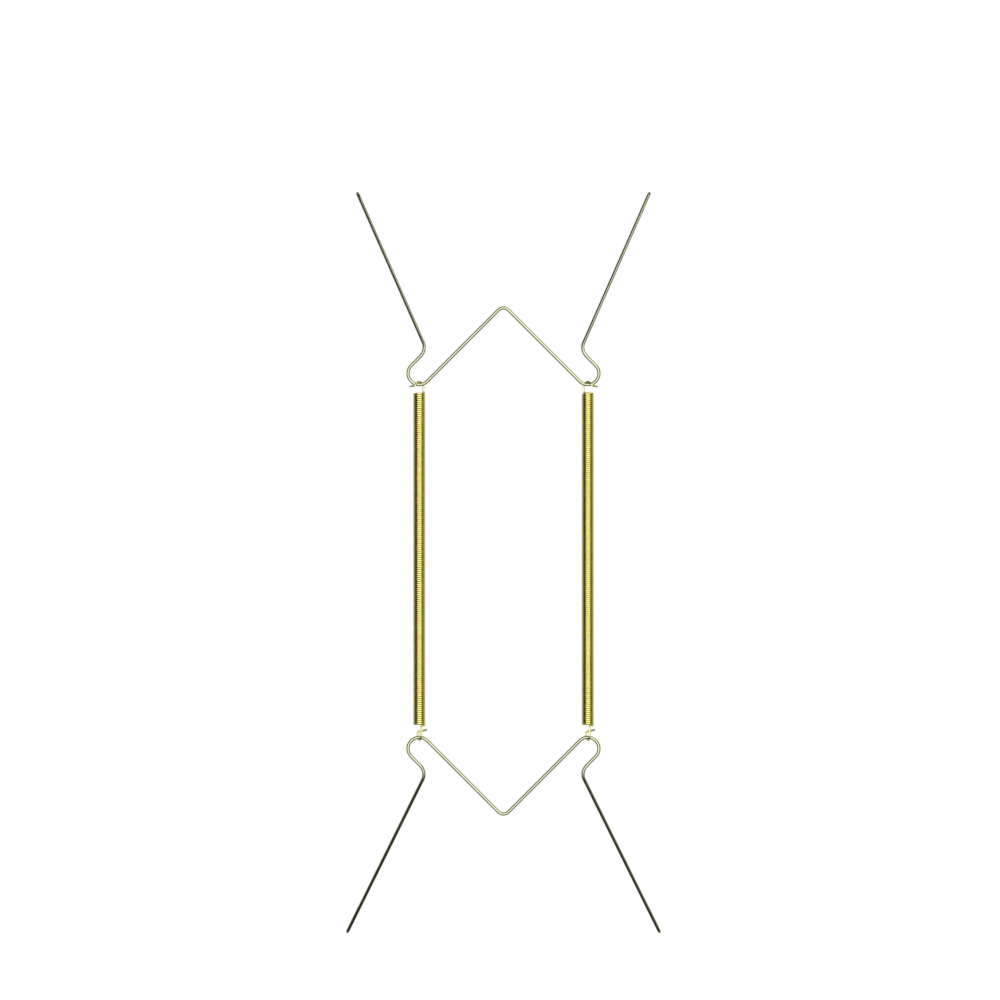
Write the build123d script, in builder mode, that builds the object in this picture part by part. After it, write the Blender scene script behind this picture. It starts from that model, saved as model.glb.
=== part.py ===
"""Spring-loaded wire hanger for a dinner plate, in millimetres.

Two bent wire frames, one the right way up and one upside down, are drawn together by two
close-wound extension springs. Each frame is one wire: a V whose apex goes over the wall nail,
a U-bend at the foot of each V leg where a spring hooks in, and two long arms that lean towards
the plate and end in a square hook round its rim.

The origin is the point inside the upper apex that rests on the nail. X runs across the hanger,
Y runs from the wall towards the plate, and Z is up.
"""
from build123d import *
import os
from math import atan, copysign, cos, hypot, radians, sin, tan

# Driving sizes of the bent wire frames

wire_flats = 10             # flats that stand for the round of a wire
frame_wire = 1.2            # thickness of the frame wire
apex_half_angle = 45.0      # between a V leg and the vertical
apex_bend = 2.5             # centreline radius at the apex
u_bend = 3.95               # centreline radius of the U-bends that hold the springs
middle_leg = 7.6            # straight from a U-bend to the corner below an arm
arm_bend = 4.5              # centreline radius of that corner
arm_length = 67.4           # from that corner to the corner at the plate's rim
lower_arm_extra = 3.4       # by which the lower arms are longer
arm_lean = 22.0             # lean of the arms towards the plate
upper_splay = 23.8          # spread of the upper arms, seen from behind the plate
lower_splay = 26.1          # spread of the lower arms
rim_gap = 6.2               # clear gap for the rim between an arm and its lip
lip_bend = 2.0              # centreline radius of the two bends round the rim
lip_length = 8.0            # from the outer corner of the hook to the wire's cut end

# Driving sizes of the extension springs

spring_spacing = 59.3       # between the axes of the two springs
spring_wire = 0.68          # thickness of the spring wire
coil_outer = 4.5            # outer diameter of the coil
coil_turns = 168            # turns of each coil
coil_pitch = 0.70           # from turn to turn, almost touching
drawn_turns = 3             # turns with their own rib at each end of the coil
groove_depth = 0.25         # depth of the groove between two turns
loop_rise = 0.8             # radius of the bend that lifts the last turn off the coil
upper_reach = 3.3           # from the coil's top to the inside of the upper loop
lower_reach = 4.6           # from the coil's foot to the inside of the lower hook
upper_past_top = 50.0       # how far an upper loop goes on past its top before its end turns out
lower_past_top = 90.0       # the same for a lower hook
upper_turn = 47.0           # angle of the upper loops to the plane of the frames
lower_turn = 72.0           # angle of the lower hooks to the plane of the frames
tail_turn = 80.0            # turn of a loop's end out of the loop's plane
tail_bend = 1.0             # centreline radius of that turn
upper_tail = 1.6            # straight end of the wire after it, on an upper loop
lower_tail = 2.7            # the same on a lower hook
seat_clearance = 0.06       # between a loop and the frame wire that it hangs on

# Places worked out from the driving sizes

apex_angle = radians(apex_half_angle)
lean = radians(arm_lean)
half_spacing = spring_spacing / 2
down_leg = Vector(sin(apex_angle), 0, -cos(apex_angle))
off_leg = Vector(cos(apex_angle), 0, sin(apex_angle))
apex_corner = Vector(0, 0, frame_wire / 2 + apex_bend * (1 / sin(apex_angle) - 1))
leg_run = (half_spacing - u_bend * cos(apex_angle)) / sin(apex_angle)
u_start = apex_corner + down_leg * leg_run
u_centre = u_start + off_leg * u_bend

hinge_top = u_centre.Z - u_bend
wire_to_loop = frame_wire / 2 + seat_clearance
coil_top = hinge_top + wire_to_loop - upper_reach
coil_length = coil_turns * coil_pitch
coil_foot = coil_top - coil_length
hinge_foot = coil_foot - lower_reach + wire_to_loop

coil_radius = coil_outer / 2
turn_radius = coil_radius - spring_wire / 2
bore_radius = coil_radius - spring_wire

upright = Plane.XY
upside_down = Plane(origin=(0, 0, hinge_top + hinge_foot), x_dir=(-1, 0, 0), z_dir=(0, 0, -1))


def wire_section(thickness):
    """Section of a wire, measured across its flats."""
    half_flat = 180 / wire_flats
    RegularPolygon(thickness / 2, wire_flats, major_radius=False, rotation=half_flat)


def wire_frame(splay, arm, stance):
    """One frame bent from a single wire, drawn apex first and then each side outwards."""
    spread = radians(splay)
    along_arm = Vector(sin(spread) * cos(lean), sin(lean), cos(spread) * cos(lean))
    over_rim = (Vector(0, 1, 0) - along_arm * sin(lean)) / cos(lean)
    apex_end = apex_corner + down_leg * (apex_bend / tan(apex_angle))
    u_middle = u_centre + down_leg * u_bend
    u_end = u_centre + off_leg * u_bend
    arm_foot = u_end - down_leg * middle_leg
    arm_tip = arm_foot + along_arm * arm
    lip_corner = arm_tip + over_rim * (rim_gap + frame_wire)
    lip_end = lip_corner - along_arm * lip_length

    def on_side(side, *points):
        return [(side * point.X, point.Y, point.Z) for point in points]

    with BuildPart() as frame:
        with BuildLine(stance) as route:
            (left_apex,), (right_apex,) = on_side(-1, apex_end), on_side(1, apex_end)
            ThreePointArc(left_apex, (0, 0, frame_wire / 2), right_apex)
            for side in (-1, 1):
                Line(*on_side(side, apex_end, u_start))
                ThreePointArc(*on_side(side, u_start, u_middle, u_end))
                FilletPolyline(
                    *on_side(side, u_end, arm_foot, arm_tip, lip_corner, lip_end),
                    radius=[arm_bend, lip_bend, lip_bend],
                )
        bent_wire = route.wire()
        with BuildSketch(Plane(origin=bent_wire @ 0, z_dir=bent_wire % 0)):
            wire_section(frame_wire)
        sweep(path=bent_wire)
    return frame


def loop_route(stance, reach, past_top, tail):
    """The wire that leaves the last turn, rises square off the coil and goes over in an arc.

    Its end turns out of the loop's plane, to the side that the tail's sign gives.
    """
    off_rim = atan(loop_rise / turn_radius)
    loop_radius = hypot(turn_radius, loop_rise)
    start = Vector(turn_radius * cos(off_rim), -turn_radius * sin(off_rim), -spring_wire / 2)
    onward = Vector(sin(off_rim), cos(off_rim), 0)
    rising = Vector(0, 0, 1)
    halfway = start + (onward * sin(radians(45)) + rising * (1 - cos(radians(45)))) * loop_rise
    risen = start + (onward + rising) * loop_rise
    shoulder = Vector(0, 0, reach + spring_wire / 2 - loop_radius)
    beyond = radians(past_top)
    arc_end = shoulder + Vector(-sin(beyond), 0, cos(beyond)) * loop_radius
    heading = Vector(-cos(beyond), 0, -sin(beyond))
    aside = Vector(0, copysign(1, tail), 0)
    half_turn, turn = radians(tail_turn) / 2, radians(tail_turn)
    half_bent, bent = (
        arc_end + (heading * sin(angle) + aside * (1 - cos(angle))) * tail_bend
        for angle in (half_turn, turn)
    )
    tail_end = bent + (heading * cos(turn) + aside * sin(turn)) * abs(tail)
    with BuildLine(stance) as route:
        ThreePointArc(tuple(start), tuple(halfway), tuple(risen))
        Line(tuple(risen), (loop_radius, 0, shoulder.Z))
        ThreePointArc((loop_radius, 0, shoulder.Z), (0, 0, shoulder.Z + loop_radius), tuple(arc_end))
        ThreePointArc(tuple(arc_end), tuple(half_bent), tuple(bent))
        Line(tuple(bent), tuple(tail_end))
    return route.wire()


def extension_spring(across, upper_direction, lower_direction, tail_side):
    """A close-wound coil with a loop at its top and a longer hook at its foot."""
    root_radius = coil_radius - groove_depth
    grooves = [turn * coil_pitch for turn in range(drawn_turns + 1)]
    ridges = [(turn + 0.5) * coil_pitch for turn in range(drawn_turns + 1)]
    lower_half = []
    for groove, ridge in zip(grooves, ridges):
        lower_half += [(root_radius, groove), (coil_radius, ridge)]
    upper_half = [(radius, coil_length - height) for radius, height in reversed(lower_half)]
    with BuildPart() as spring:
        with BuildSketch(Plane.XZ.shift_origin((across, 0, coil_foot))):
            with BuildLine():
                Polyline(
                    (bore_radius, 0), *lower_half, *upper_half, (bore_radius, coil_length),
                    close=True,
                )
            make_face()
        revolve(axis=Axis((across, 0, 0), (0, 0, 1)))
        for height, outward, direction, reach, past_top, tail in (
            (coil_top, 1, upper_direction, upper_reach, upper_past_top, tail_side * upper_tail),
            (coil_foot, -1, lower_direction, lower_reach, lower_past_top, -lower_tail),
        ):
            stance = Plane(origin=(across, 0, height), x_dir=direction, z_dir=(0, 0, outward))
            bent_end = loop_route(stance, reach, past_top, tail)
            with BuildSketch(Plane(origin=bent_end @ 0, z_dir=bent_end % 0)):
                wire_section(spring_wire)
            sweep(path=bent_end)
    return spring


def towards_wall(side, turn):
    """Direction of a loop's rising wire: to one side and back towards the wall."""
    return (side * cos(radians(turn)), -sin(radians(turn)), 0)


def towards_plate(side, turn):
    """Direction of a loop's rising wire: to one side and forward to the plate."""
    return (side * cos(radians(turn)), sin(radians(turn)), 0)


# The four pieces

upper_frame = wire_frame(upper_splay, arm_length, upright)
upper_frame.part.label = "upper_frame"

lower_frame = wire_frame(lower_splay, arm_length + lower_arm_extra, upside_down)
lower_frame.part.label = "lower_frame"

left_spring = extension_spring(
    -half_spacing, towards_plate(1, upper_turn), towards_wall(1, lower_turn), 1
)
left_spring.part.label = "left_spring"

right_spring = extension_spring(
    half_spacing, towards_plate(-1, upper_turn), towards_wall(1, lower_turn), -1
)
right_spring.part.label = "right_spring"

os.makedirs("parts", exist_ok=True)
export_step(upper_frame.part, "parts/upper_frame.step")
export_step(lower_frame.part, "parts/lower_frame.step")
export_step(left_spring.part, "parts/left_spring.step")
export_step(right_spring.part, "parts/right_spring.step")

print("hinge lines at", round(hinge_top, 3), "and", round(hinge_foot, 3))
print("coil from", round(coil_top, 3), "to", round(coil_foot, 3))
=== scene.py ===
"""Plate hanger of bent wire, dressed for a studio picture.

Two bent wire frames and two close-wound extension springs are drawn round and smooth over the
frame model, in bright brass plate, with every turn of the springs wound.
"""
from math import acos, atan2, ceil, cos, hypot, pi, radians, sin, tan

import bpy
import numpy as np
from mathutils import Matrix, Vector


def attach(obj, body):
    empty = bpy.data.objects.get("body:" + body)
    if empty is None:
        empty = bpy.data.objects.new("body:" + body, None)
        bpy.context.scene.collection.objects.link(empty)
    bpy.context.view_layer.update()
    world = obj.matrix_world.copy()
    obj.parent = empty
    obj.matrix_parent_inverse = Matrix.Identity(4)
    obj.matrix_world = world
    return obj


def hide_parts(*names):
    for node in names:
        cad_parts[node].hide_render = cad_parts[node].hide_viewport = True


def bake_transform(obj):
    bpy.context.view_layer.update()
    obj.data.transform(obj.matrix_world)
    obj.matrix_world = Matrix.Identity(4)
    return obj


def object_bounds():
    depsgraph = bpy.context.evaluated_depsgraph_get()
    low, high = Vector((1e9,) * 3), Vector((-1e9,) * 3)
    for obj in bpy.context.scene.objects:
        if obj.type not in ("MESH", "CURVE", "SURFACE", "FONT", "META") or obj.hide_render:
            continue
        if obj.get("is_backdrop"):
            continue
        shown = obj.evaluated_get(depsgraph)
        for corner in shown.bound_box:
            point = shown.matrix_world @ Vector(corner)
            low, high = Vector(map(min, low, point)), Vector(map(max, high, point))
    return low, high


bl_info = {
    "name": "Plate Hanger",
    "version": (1, 0, 0),
    "blender": (4, 5, 0),
    "location": "View3D > Sidebar > Plate Hanger",
    "description": "Draws a bent wire plate hanger with two extension springs",
    "category": "Add Mesh",
}

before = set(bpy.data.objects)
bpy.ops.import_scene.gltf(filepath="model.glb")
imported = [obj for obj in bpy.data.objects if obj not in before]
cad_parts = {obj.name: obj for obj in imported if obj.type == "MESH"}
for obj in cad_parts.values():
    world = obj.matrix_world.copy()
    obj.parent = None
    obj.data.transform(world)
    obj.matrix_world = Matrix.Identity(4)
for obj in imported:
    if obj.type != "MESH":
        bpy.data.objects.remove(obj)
MM = 0.001
WIRE_UV = "wire_millimetres"

# fineness of the drawn wires
FRAME_SIDES, SPRING_SIDES = 24, 10
BEND_STEP = radians(4.0)
LONGEST_RUN = 2.0 * MM
STEPS_PER_TURN = 32
LOOP_STEP = radians(8.0)
SMALL_BEND_STEPS = 10


def length(name, description, millimetres):
    """A length that a user can change, in metres."""
    return bpy.props.FloatProperty(
        name=name, description=description, default=millimetres * MM,
        min=0.0, precision=5, subtype="DISTANCE", unit="LENGTH",
    )


def angle(name, description, degrees):
    """An angle that a user can change."""
    return bpy.props.FloatProperty(
        name=name, description=description, default=radians(degrees),
        subtype="ANGLE", unit="ROTATION",
    )


def tint(name, description, colour):
    """A colour that a user can change."""
    return bpy.props.FloatVectorProperty(
        name=name, description=description, default=colour, size=3,
        min=0.0, max=1.0, subtype="COLOR",
    )


class HangerFrameSizes(bpy.types.PropertyGroup):
    """Sizes of the two bent wire frames."""

    wire: length("Wire", "Thickness of the frame wire", 1.2)
    apex_half_angle: angle("Apex half angle", "Between a V leg and the vertical", 45.0)
    apex_bend: length("Apex bend", "Centreline radius at the apex", 2.5)
    u_bend: length("U-bend", "Centreline radius of the U-bends that hold the springs", 3.95)
    middle_leg: length("Middle leg", "Straight from a U-bend to the corner below an arm", 7.6)
    arm_bend: length("Arm bend", "Centreline radius of the corner below an arm", 4.5)
    arm_length: length("Arm", "From the lower corner to the corner at the rim", 67.4)
    lower_arm_extra: length("Lower arm extra", "By which the lower arms are longer", 3.4)
    arm_lean: angle("Lean", "Lean of the arms towards the plate", 22.0)
    upper_splay: angle("Upper splay", "Spread of the upper arms", 23.8)
    lower_splay: angle("Lower splay", "Spread of the lower arms", 26.1)
    rim_gap: length("Rim gap", "Clear gap for the rim between an arm and its lip", 6.2)
    lip_bend: length("Lip bend", "Centreline radius of the two bends round the rim", 2.0)
    lip_length: length("Lip", "From the outer corner of the hook to the cut end", 8.0)
    cut_edge: length("Cut edge", "Depth of the broken edge at a cut end", 0.042)


class HangerSpringSizes(bpy.types.PropertyGroup):
    """Sizes of the two extension springs."""

    spacing: length("Spacing", "Between the axes of the two springs", 59.3)
    wire: length("Wire", "Thickness of the spring wire", 0.68)
    coil_outer: length("Coil", "Outer diameter of the coil", 4.5)
    turns: bpy.props.IntProperty(
        name="Turns", description="Turns of each coil", default=168, min=2)
    pitch: length("Pitch", "From turn to turn, almost touching", 0.70)
    rise: length("Loop rise", "Radius of the bend that lifts the last turn off the coil", 0.8)
    upper_reach: length("Upper reach", "From the coil to the inside of the upper loop", 3.3)
    lower_reach: length("Lower reach", "From the coil to the inside of the lower hook", 4.6)
    upper_past_top: angle("Upper past top", "How far an upper loop goes on past its top", 50.0)
    lower_past_top: angle("Lower past top", "The same for a lower hook", 90.0)
    upper_turn: angle("Upper turn", "Angle of the upper loops to the frames", 47.0)
    lower_turn: angle("Lower turn", "Angle of the lower hooks to the frames", 72.0)
    clearance: length("Clearance", "Between a loop and the frame wire in it", 0.06)
    tail_turn: angle("Tail turn", "Turn of a loop's end out of the loop's plane", 80.0)
    tail_bend: length("Tail bend", "Centreline radius of that turn", 1.0)
    upper_tail: length("Upper tail", "Straight end of an upper loop after its turn", 1.6)
    lower_tail: length("Lower tail", "Straight end of a lower hook after its turn", 2.7)
    cut_edge: length("Cut edge", "Depth of the broken edge at a cut end", 0.028)


class HangerFinish(bpy.types.PropertyGroup):
    """Colours of the plated wire."""

    frame_brass: tint("Frame brass", "Brass plate on the frame wire", (0.37, 0.385, 0.19))
    frame_shade: tint("Frame shade", "Duller brass in streaks", (0.28, 0.30, 0.125))
    spring_brass: tint("Spring brass", "Brass plate on the springs", (0.88, 0.80, 0.18))
    spring_shade: tint("Spring shade", "Duller brass of the springs", (0.76, 0.67, 0.10))
    bare_steel: tint("Bare steel", "Steel core at the cut ends", (0.42, 0.41, 0.39))


class HangerStage(bpy.types.PropertyGroup):
    """Camera, floor and light."""

    lens: bpy.props.FloatProperty(
        name="Lens", description="Focal length in millimetres", default=200.0)
    distance: length("Distance", "From the camera to the plane of the springs", 1955.6)
    aim_across: length("Aim across", "Sideways offset of the camera", 1.23)
    aim_height: bpy.props.FloatProperty(
        name="Aim height", description="Height of the camera", default=-67.0 * MM,
        precision=5, subtype="DISTANCE", unit="LENGTH")
    floor_drop: length("Floor drop", "From the lowest tip down to the floor", 400.0)
    floor_width: length("Floor width", "Width and depth of the floor", 5000.0)
    softbox_width: length("Softbox width", "Width of the key light", 900.0)
    softbox_height: length("Softbox height", "Height of the key light", 1100.0)
    softbox_power: bpy.props.FloatProperty(
        name="Softbox power", description="Power of the key light in watts", default=5.2,
        min=0.0)
    softbox_place: bpy.props.FloatVectorProperty(
        name="Softbox place", description="Where the key light stands",
        default=(800.0 * MM, -880.0 * MM, 1050.0 * MM), size=3, subtype="TRANSLATION",
        unit="LENGTH")


def facts():
    """The four groups of values in the scene: frames, springs, finish and stage."""
    scene = bpy.context.scene
    return scene.hanger_frames, scene.hanger_springs, scene.hanger_finish, scene.hanger_stage


def arc(centre, start, towards, turn, steps):
    """Points on an arc from start, which sets off in the direction towards."""
    spoke = start - centre
    radius = spoke.length
    spoke.normalize()
    return [
        centre + (spoke * cos(turn * k / steps) + towards * sin(turn * k / steps)) * radius
        for k in range(steps + 1)
    ]


def rounded(corners, radii):
    """A run of straight wire whose inner corners are bent to the given radii."""
    points = [corners[0]]
    for before, corner, after, radius in zip(corners, corners[1:], corners[2:], radii):
        coming, going = (corner - before).normalized(), (after - corner).normalized()
        turn = acos(max(-1.0, min(1.0, coming.dot(going))))
        start = corner - coming * (radius * tan(turn / 2))
        inwards = (going - coming * coming.dot(going)).normalized()
        points += arc(start + inwards * radius, start, coming, turn, max(2, ceil(turn / BEND_STEP)))
    return points + [corners[-1]]


def split_long_runs(points):
    """The same route with points added on its straight runs, so streaks stay even."""
    route = [points[0]]
    for start, end in zip(points, points[1:]):
        pieces = max(1, ceil((end - start).length / LONGEST_RUN))
        route += [start.lerp(end, (k + 1) / pieces) for k in range(pieces)]
    return without_repeats(route)


def without_repeats(route):
    """The route without points that lie on the one before."""
    nearest = 0.0001 * MM
    return [p for k, p in enumerate(route) if k == 0 or (p - route[k - 1]).length > nearest]


def drawn_wire(name, route, thickness, cut_edge, sides):
    """A round wire along a route, with UVs in millimetres and softly broken cut ends."""
    centres = np.array([tuple(p) for p in route])
    runs = np.linalg.norm(np.diff(centres, axis=0), axis=1)
    along = np.concatenate([[0.0], np.cumsum(runs)])
    headings = [(b - a).normalized() for a, b in zip(route, route[1:])]
    tangents = [headings[0]]
    tangents += [(a + b).normalized() for a, b in zip(headings, headings[1:])]
    tangents.append(headings[-1])

    # the section is carried along the wire without twisting
    across = tangents[0].orthogonal().normalized()
    firsts, seconds = [], []
    previous = tangents[0]
    for tangent in tangents:
        across = previous.rotation_difference(tangent) @ across
        across = (across - tangent * across.dot(tangent)).normalized()
        firsts.append(tuple(across))
        seconds.append(tuple(tangent.cross(across)))
        previous = tangent
    firsts, seconds = np.array(firsts), np.array(seconds)

    # two narrower rings at each end break the edge of the cut
    cut_share, edge_share = 0.82, 0.95
    end_rings = ((0.0, cut_share), (cut_edge, edge_share))
    stations = [(0, along[0] + depth, scale) for depth, scale in end_rings]
    stations += [(k, along[k], 1.0) for k in range(1, len(route) - 1)]
    stations += [(-1, along[-1] - depth, scale) for depth, scale in reversed(end_rings)]
    first_heading, last_heading = np.array(headings[0]), np.array(headings[-1])
    radius = thickness / 2
    around = np.linspace(0, 2 * pi, sides, endpoint=False)
    ring_cos, ring_sin = np.cos(around)[:, None], np.sin(around)[:, None]
    vertices, lengths = [], []
    for k, place, scale in stations:
        centre = centres[k]
        if k == 0:
            centre = centre + first_heading * place
        elif k == -1:
            centre = centre - last_heading * (along[-1] - place)
        ring = centre + (firsts[k] * ring_cos + seconds[k] * ring_sin) * (radius * scale)
        vertices.append(ring)
        lengths.append(place)
    vertices = np.concatenate(vertices)
    rings = len(stations)

    ring_index, side_index = np.meshgrid(np.arange(rings - 1), np.arange(sides), indexing="ij")
    base, following = ring_index * sides, (side_index + 1) % sides
    quads = np.stack([
        base + side_index, base + following, base + sides + following, base + sides + side_index,
    ], axis=-1).reshape(-1, 4)
    faces = quads.tolist()
    faces.append(list(range(sides - 1, -1, -1)))
    faces.append(list(range((rings - 1) * sides, rings * sides)))

    mesh = bpy.data.meshes.new(name)
    mesh.from_pydata(vertices.tolist(), [], faces)
    lengths = np.array(lengths)
    girth = pi * thickness / MM
    u_low, u_high = side_index / sides * girth, (side_index + 1) / sides * girth
    v_low, v_high = lengths[ring_index] / MM, lengths[ring_index + 1] / MM
    wall_uv = np.stack([
        np.stack([u_low, v_low], -1), np.stack([u_high, v_low], -1),
        np.stack([u_high, v_high], -1), np.stack([u_low, v_high], -1),
    ], axis=2).reshape(-1, 2)
    disc = np.concatenate([ring_cos, ring_sin], axis=1) * radius / MM
    uv = np.concatenate([wall_uv, disc[::-1], disc])
    layer = mesh.uv_layers.new(name=WIRE_UV)
    layer.data.foreach_set("uv", uv.ravel())
    smooth = np.ones(len(faces), dtype=bool)
    smooth[-2:] = False
    mesh.polygons.foreach_set("use_smooth", smooth)
    cut = np.zeros(len(faces), dtype=np.int32)
    cut[-2:] = 1
    mesh.polygons.foreach_set("material_index", cut)
    mesh.update()
    wire = bpy.data.objects.new(name, mesh)
    bpy.context.scene.collection.objects.link(wire)
    return wire


class NodeBoard:
    """Short ways to lay out the nodes of a material or of the world."""

    def __init__(self, owner):
        owner.use_nodes = True
        self.nodes = owner.node_tree.nodes
        self.links = owner.node_tree.links

    def node(self, kind, **settings):
        made = self.nodes.new(kind)
        for key, value in settings.items():
            setattr(made, key, value)
        return made

    def link(self, source, target):
        self.links.new(source, target)

    def between(self, value, low, high, out_low, out_high, run="LINEAR"):
        """The value's way from low to high, as a way from out_low to out_high."""
        made = self.node("ShaderNodeMapRange", interpolation_type=run)
        for socket, number in zip(
            ("From Min", "From Max", "To Min", "To Max"), (low, high, out_low, out_high)
        ):
            made.inputs[socket].default_value = number
        self.link(value, made.inputs["Value"])
        return made.outputs["Result"]

    def combined(self, first, second, operation):
        """Two values, the second of which may be a plain number."""
        made = self.node("ShaderNodeMath", operation=operation)
        self.link(first, made.inputs[0])
        if isinstance(second, float):
            made.inputs[1].default_value = second
        else:
            self.link(second, made.inputs[1])
        return made.outputs[0]

    def mixed(self, share, first, second, target):
        """Two shaders mixed into an output's surface."""
        made = self.node("ShaderNodeMixShader")
        self.link(share, made.inputs["Fac"])
        self.link(first, made.inputs[1])
        self.link(second, made.inputs[2])
        self.link(made.outputs[0], target.inputs["Surface"])


class WireShader(NodeBoard):
    """The metal of a wire, with coordinates in millimetres round and along it."""

    def __init__(self, name):
        self.material = bpy.data.materials.new(name)
        super().__init__(self.material)
        self.surface = self.nodes["Principled BSDF"]
        self.surface.inputs["Metallic"].default_value = 1.0

    def grain(self, round_wire, along_wire, detail):
        """Noise with its own fineness round the wire and along it."""
        uv = self.node("ShaderNodeUVMap", uv_map=WIRE_UV)
        mapping = self.node("ShaderNodeMapping")
        mapping.inputs["Scale"].default_value = (round_wire, along_wire, 1.0)
        self.link(uv.outputs["UV"], mapping.inputs["Vector"])
        made = self.node("ShaderNodeTexNoise")
        made.inputs["Scale"].default_value = 1.0
        made.inputs["Detail"].default_value = detail
        self.link(mapping.outputs["Vector"], made.inputs["Vector"])
        return made.outputs["Fac"]

    def colour(self, factor, first, second):
        """A colour that varies between two."""
        made = self.node("ShaderNodeMix", data_type="RGBA")
        made.inputs["A"].default_value = (*first, 1.0)
        made.inputs["B"].default_value = (*second, 1.0)
        self.link(factor, made.inputs["Factor"])
        self.link(made.outputs["Result"], self.surface.inputs["Base Color"])

    def roughness(self, grain, smoothest, roughest):
        """A roughness that varies between two."""
        self.link(
            self.between(grain, 0.3, 0.7, smoothest, roughest),
            self.surface.inputs["Roughness"])

    def bump(self, height, strength, depth):
        """Fine relief of the given depth in metres."""
        made = self.node("ShaderNodeBump")
        made.inputs["Strength"].default_value = strength
        made.inputs["Distance"].default_value = depth
        self.link(height, made.inputs["Height"])
        self.link(made.outputs["Normal"], self.surface.inputs["Normal"])


def brass_plate(name, bright, dull, smoothest, roughest):
    """Bright brass plate over drawn wire: fine lines along the wire and faint duller patches."""
    shader = WireShader(name)
    lines = shader.grain(round_wire=9.0, along_wire=0.35, detail=4.0)
    patches = shader.grain(round_wire=0.5, along_wire=0.12, detail=2.0)
    shader.colour(shader.between(patches, 0.42, 0.75, 0.0, 0.55), bright, dull)
    shader.roughness(lines, smoothest, roughest)
    shader.bump(lines, 0.10, 0.02 * MM)
    for socket, value in (
        ("Coat Weight", 1.0), ("Coat IOR", 2.0), ("Coat Roughness", 0.06),
    ):
        shader.surface.inputs[socket].default_value = value
    return shader.material


def cut_end(name, steel):
    """Steel core of the wire where the cutter sheared it."""
    shader = WireShader(name)
    grain = shader.grain(round_wire=3.0, along_wire=22.0, detail=3.0)
    lighter = [min(1.0, channel * 1.35) for channel in steel]
    shader.colour(grain, steel, lighter)
    shader.roughness(grain, 0.38, 0.55)
    shader.bump(grain, 0.25, 0.03 * MM)
    return shader.material


def finish_wire(wire, plate, steel):
    """Plate on the wire's wall, bare steel on its two cut ends."""
    wire.data.materials.append(plate)
    wire.data.materials.append(steel)


def shared_material(name, make, *values):
    """The named material, made once."""
    return bpy.data.materials.get(name) or make(name, *values)


def frame_lines(sizes, springs):
    """An upright frame's leg directions, its apex corner, and a U-bend's start and centre."""
    slope = sizes.apex_half_angle
    half = springs.spacing / 2
    down_leg = Vector((sin(slope), 0, -cos(slope)))
    off_leg = Vector((cos(slope), 0, sin(slope)))
    apex = Vector((0, 0, sizes.wire / 2 + sizes.apex_bend * (1 / sin(slope) - 1)))
    u_start = apex + down_leg * ((half - sizes.u_bend * cos(slope)) / sin(slope))
    u_centre = u_start + off_leg * sizes.u_bend
    return down_leg, off_leg, apex, u_start, u_centre


def heights(sizes, springs):
    """Hinge lines and ends of the coils, from the nail down."""
    *_, u_centre = frame_lines(sizes, springs)
    hinge_top = u_centre.z - sizes.u_bend
    seat = sizes.wire / 2 + springs.clearance
    coil_top = hinge_top + seat - springs.upper_reach
    coil_foot = coil_top - springs.turns * springs.pitch
    hinge_foot = coil_foot - springs.lower_reach + seat
    return hinge_top, coil_top, coil_foot, hinge_foot


def frame_route(sizes, springs, splay, arm):
    """The centreline of one upright frame, from one cut end to the other."""
    down_leg, off_leg, apex, u_start, u_centre = frame_lines(sizes, springs)
    lean = sizes.arm_lean
    along_arm = Vector((sin(splay) * cos(lean), sin(lean), cos(splay) * cos(lean)))
    over_rim = (Vector((0, 1, 0)) - along_arm * sin(lean)) / cos(lean)
    u_end = u_centre + off_leg * sizes.u_bend
    arm_foot = u_end - down_leg * sizes.middle_leg
    arm_tip = arm_foot + along_arm * arm
    lip_corner = arm_tip + over_rim * (sizes.rim_gap + sizes.wire)
    lip_end = lip_corner - along_arm * sizes.lip_length
    right = arc(u_centre, u_start, down_leg, pi, ceil(pi / BEND_STEP))[:-1]
    right += rounded(
        [u_end, arm_foot, arm_tip, lip_corner, lip_end],
        [sizes.arm_bend, sizes.lip_bend, sizes.lip_bend])
    mirrored = [Vector((-p.x, p.y, p.z)) for p in reversed(right)]
    top = rounded([mirrored[-1], apex, right[0]], [sizes.apex_bend])[1:-1]
    return split_long_runs(mirrored + top + right)


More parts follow.
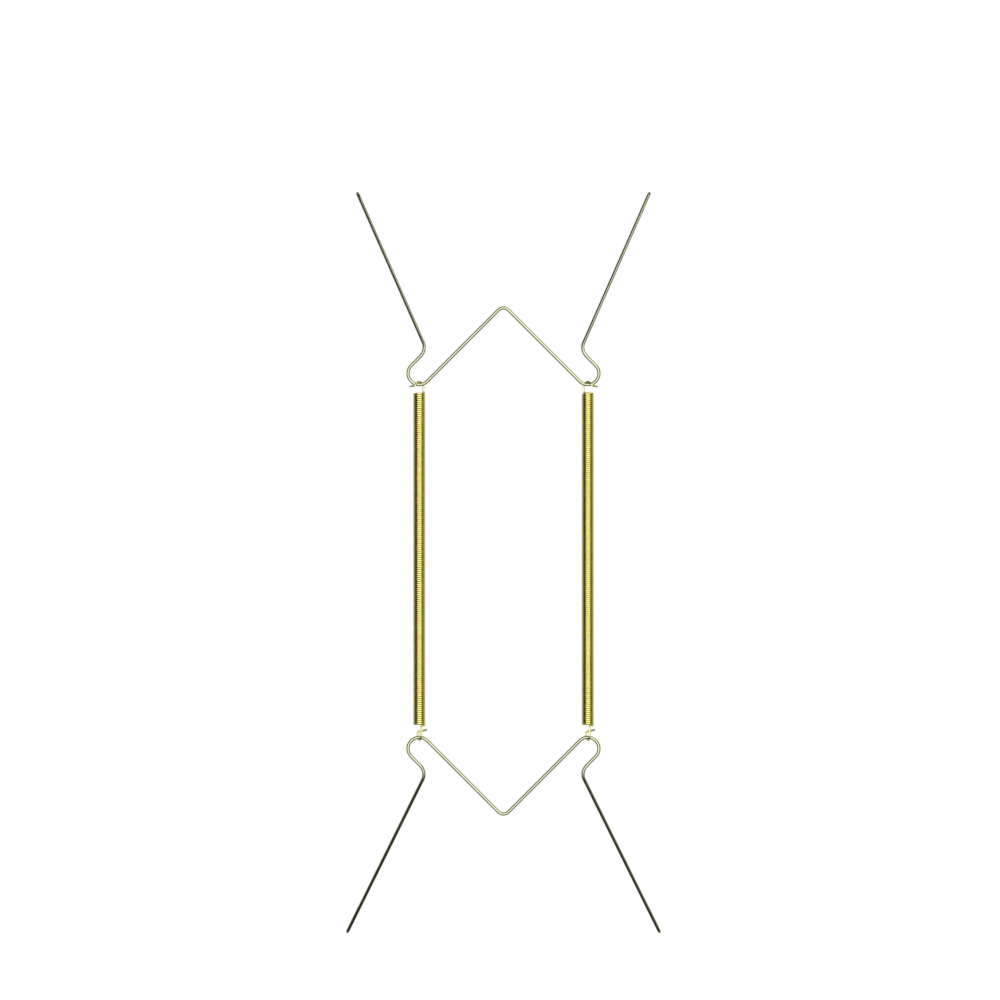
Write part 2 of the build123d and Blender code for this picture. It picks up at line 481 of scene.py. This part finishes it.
def spring_route(springs, across, coil_top, coil_foot, side):
    """The centreline of one spring: lower hook, every turn of the coil, upper loop."""
    radius = springs.coil_outer / 2 - springs.wire / 2
    off_rim = atan2(springs.rise, radius)
    loop_radius = hypot(radius, springs.rise)

    def end_loop(height, outward, direction, reach, past_top, tail_side, tail):
        """From the coil's last turn over the loop to the wire's cut end."""
        rising = Vector((0, 0, outward))
        first = Vector((*direction, 0))
        second = rising.cross(first)

        def place(u, n, w):
            return Vector((across, 0, height)) + first * u + second * n + rising * w

        start = place(radius * cos(off_rim), -radius * sin(off_rim), -springs.wire / 2)
        onward = first * sin(off_rim) + second * cos(off_rim)
        lifted = arc(start + rising * springs.rise, start, onward, pi / 2, SMALL_BEND_STEPS)
        shoulder = reach + springs.wire / 2 - loop_radius
        sweep = pi / 2 + past_top
        crown = arc(
            place(0, 0, shoulder), place(loop_radius, 0, shoulder), rising, sweep,
            ceil(sweep / LOOP_STEP))
        heading = -first * cos(past_top) - rising * sin(past_top)
        turned = springs.tail_turn
        aside = second * tail_side
        bend = arc(
            crown[-1] + aside * springs.tail_bend, crown[-1], heading, turned,
            SMALL_BEND_STEPS)
        end = bend[-1] + (heading * cos(turned) + aside * sin(turned)) * tail
        return lifted + crown + bend + [end]

    turn = springs.upper_turn
    upper = end_loop(
        coil_top, 1, (-side * cos(turn), sin(turn)), springs.upper_reach,
        springs.upper_past_top, -side, springs.upper_tail)
    turn = springs.lower_turn
    lower = end_loop(
        coil_foot, -1, (cos(turn), -sin(turn)), springs.lower_reach,
        springs.lower_past_top, -1, springs.lower_tail)
    axis = Vector((across, 0, 0))
    start_angle = atan2(*reversed((lower[0] - axis).xy))
    end_angle = atan2(*reversed((upper[0] - axis).xy))
    whole_turns = round(springs.turns - springs.wire / springs.pitch)
    sweep = 2 * pi * whole_turns + (end_angle - start_angle) % (2 * pi)
    steps = ceil(sweep / (2 * pi) * STEPS_PER_TURN)
    low, high = lower[0].z, upper[0].z
    coil = []
    for k in range(1, steps):
        heading = start_angle + sweep * k / steps
        coil.append(Vector((
            across + radius * cos(heading), radius * sin(heading),
            low + (high - low) * k / steps,
        )))
    return without_repeats(list(reversed(lower)) + coil + upper)


class HANGER_OT_frames(bpy.types.Operator):
    """Bend the upper and lower frames from round wire"""

    bl_idname = "hanger.frames"
    bl_label = "Bent wire frames"

    def execute(self, context):
        sizes, springs, finish, _ = facts()
        plate = shared_material(
            "frame_brass_plate", brass_plate, finish.frame_brass[:], finish.frame_shade[:],
            0.10, 0.20)
        steel = shared_material("cut_steel", cut_end, finish.bare_steel[:])
        hinge_top, _, _, hinge_foot = heights(sizes, springs)
        turned = hinge_top + hinge_foot
        upper = frame_route(sizes, springs, sizes.upper_splay, sizes.arm_length)
        lower = [
            Vector((-p.x, p.y, turned - p.z))
            for p in frame_route(
                sizes, springs, sizes.lower_splay, sizes.arm_length + sizes.lower_arm_extra)
        ]
        for body, route in (("upper_frame", upper), ("lower_frame", lower)):
            wire = drawn_wire(
                f"{body}_wire", route, sizes.wire, sizes.cut_edge, FRAME_SIDES)
            finish_wire(wire, plate, steel)
            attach(wire, body)
            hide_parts(body)
        return {"FINISHED"}


class HANGER_OT_springs(bpy.types.Operator):
    """Wind the two extension springs, turn by turn, with their end loops"""

    bl_idname = "hanger.springs"
    bl_label = "Extension springs"

    def execute(self, context):
        sizes, springs, finish, _ = facts()
        plate = shared_material(
            "spring_brass_plate", brass_plate, finish.spring_brass[:],
            finish.spring_shade[:], 0.16, 0.28)
        steel = shared_material("cut_steel", cut_end, finish.bare_steel[:])
        _, coil_top, coil_foot, _ = heights(sizes, springs)
        for node, side in (("left_spring", -1), ("right_spring", 1)):
            across = side * springs.spacing / 2
            route = spring_route(springs, across, coil_top, coil_foot, side)
            wire = drawn_wire(
                f"{node}_wire", route, springs.wire, springs.cut_edge, SPRING_SIDES)
            finish_wire(wire, plate, steel)
            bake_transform(wire)
            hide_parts(node)
        return {"FINISHED"}


def studio_world(world):
    """Soft light from in front, behind and above.

    The backdrop is white: all round for the camera, and behind the hanger in its reflections.
    """
    board = NodeBoard(world)
    board.nodes.clear()
    direction = board.node("ShaderNodeTexCoord")
    parts = board.node("ShaderNodeSeparateXYZ")
    board.link(direction.outputs["Generated"], parts.inputs[0])
    across, depth, height = (parts.outputs[axis] for axis in "XYZ")

    def lobe(value, low, high, strength):
        return board.between(value, low, high, 0.0, strength, "SMOOTHSTEP")

    # a panel in front, then softer light from behind, the right, both sides and above
    light = lobe(depth, -0.645, -0.88, 2.1)
    for value, low, high, strength in (
        (depth, 0.05, 0.45, 0.38), (across, 0.55, 0.85, 0.10), (across, 0.92, 0.99, 0.35),
        (across, -0.94, -0.99, 0.30), (height, 0.86, 0.98, 0.45),
    ):
        light = board.combined(light, lobe(value, low, high, strength), "ADD")
    light = board.combined(light, 0.02, "ADD")

    rays = board.node("ShaderNodeLightPath").outputs
    mirrored = board.combined(
        rays["Is Glossy Ray"], rays["Is Transmission Ray"], "MAXIMUM")
    behind = lobe(depth, 0.70, 0.95, 1.0)
    shown = board.combined(
        rays["Is Camera Ray"], board.combined(mirrored, behind, "MULTIPLY"), "MAXIMUM")
    studio, backdrop = (board.node("ShaderNodeBackground") for _ in range(2))
    board.link(light, studio.inputs["Strength"])
    studio.inputs["Color"].default_value = (1.0, 0.99, 0.96, 1.0)
    backdrop.inputs["Color"].default_value = (1.0, 1.0, 1.0, 1.0)
    board.mixed(
        shown, studio.outputs[0], backdrop.outputs[0], board.node("ShaderNodeOutputWorld"))


def pale_floor(name):
    """Matt pale floor, whitened for the camera so that only shadows show on it."""
    material = bpy.data.materials.new(name)
    board = NodeBoard(material)
    surface = board.nodes["Principled BSDF"]
    surface.inputs["Base Color"].default_value = (0.80, 0.80, 0.79, 1.0)
    surface.inputs["Roughness"].default_value = 0.9
    white = board.node("ShaderNodeEmission")
    white.inputs["Strength"].default_value = 1.3
    camera_ray = board.node("ShaderNodeLightPath").outputs["Is Camera Ray"]
    board.mixed(
        board.combined(camera_ray, 0.7, "MULTIPLY"), surface.outputs[0], white.outputs[0],
        board.nodes["Material Output"])
    return material


class HANGER_OT_stage(bpy.types.Operator):
    """Set the pale floor, the soft studio light and the camera"""

    bl_idname = "hanger.stage"
    bl_label = "Floor, light and camera"

    def execute(self, context):
        scene = context.scene
        *_, stage = facts()
        scene.view_settings.view_transform = "Standard"
        scene.world = scene.world or bpy.data.worlds.new("studio")
        studio_world(scene.world)
        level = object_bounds()[0][2] - stage.floor_drop
        half = stage.floor_width / 2
        mesh = bpy.data.meshes.new("floor")
        mesh.from_pydata(
            [(-half, -half, level), (half, -half, level), (half, half, level),
             (-half, half, level)],
            [], [(0, 1, 2, 3)])
        mesh.materials.append(pale_floor("pale_floor"))
        floor = bpy.data.objects.new("floor", mesh)
        scene.collection.objects.link(floor)
        floor.visible_glossy = False
        floor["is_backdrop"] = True

        lamp_data = bpy.data.lights.new("key_softbox", "AREA")
        lamp_data.shape = "RECTANGLE"
        lamp_data.size, lamp_data.size_y = stage.softbox_width, stage.softbox_height
        lamp_data.energy = stage.softbox_power
        lamp = bpy.data.objects.new("key_softbox", lamp_data)
        lamp.location = stage.softbox_place
        aim = Vector((0, 0, stage.aim_height)) - lamp.location
        lamp.rotation_euler = aim.to_track_quat("-Z", "Y").to_euler()
        scene.collection.objects.link(lamp)

        camera_data = bpy.data.cameras.new("front_camera")
        camera_data.lens = stage.lens
        camera_data.clip_end = 20.0
        camera = bpy.data.objects.new("front_camera", camera_data)
        camera.location = (-stage.aim_across, -stage.distance, stage.aim_height)
        camera.rotation_euler = (pi / 2, 0, 0)
        scene.collection.objects.link(camera)
        scene.camera = camera
        return {"FINISHED"}


class HANGER_PT_panel(bpy.types.Panel):
    """The hanger's steps and values in the sidebar"""

    bl_idname = "HANGER_PT_panel"
    bl_label = "Plate Hanger"
    bl_space_type = "VIEW_3D"
    bl_region_type = "UI"
    bl_category = "Plate Hanger"

    def draw(self, context):
        layout = self.layout
        for step in STEPS:
            layout.operator(step.bl_idname)
        for group in facts():
            box = layout.box()
            box.label(text=group.bl_rna.description)
            for key in group.__annotations__:
                box.prop(group, key)


STEPS = (HANGER_OT_frames, HANGER_OT_springs, HANGER_OT_stage)
GROUPS = (
    ("hanger_frames", HangerFrameSizes),
    ("hanger_springs", HangerSpringSizes),
    ("hanger_finish", HangerFinish),
    ("hanger_stage", HangerStage),
)


def register():
    for name, group in GROUPS:
        bpy.utils.register_class(group)
        setattr(bpy.types.Scene, name, bpy.props.PointerProperty(type=group))
    for step in (*STEPS, HANGER_PT_panel):
        bpy.utils.register_class(step)


def unregister():
    for step in (HANGER_PT_panel, *reversed(STEPS)):
        bpy.utils.unregister_class(step)
    for name, group in reversed(GROUPS):
        delattr(bpy.types.Scene, name)
        bpy.utils.unregister_class(group)


def main():
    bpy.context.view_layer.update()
    register()
    bpy.ops.hanger.frames()
    bpy.ops.hanger.springs()
    bpy.ops.hanger.stage()


if __name__ == "__main__":
    main()
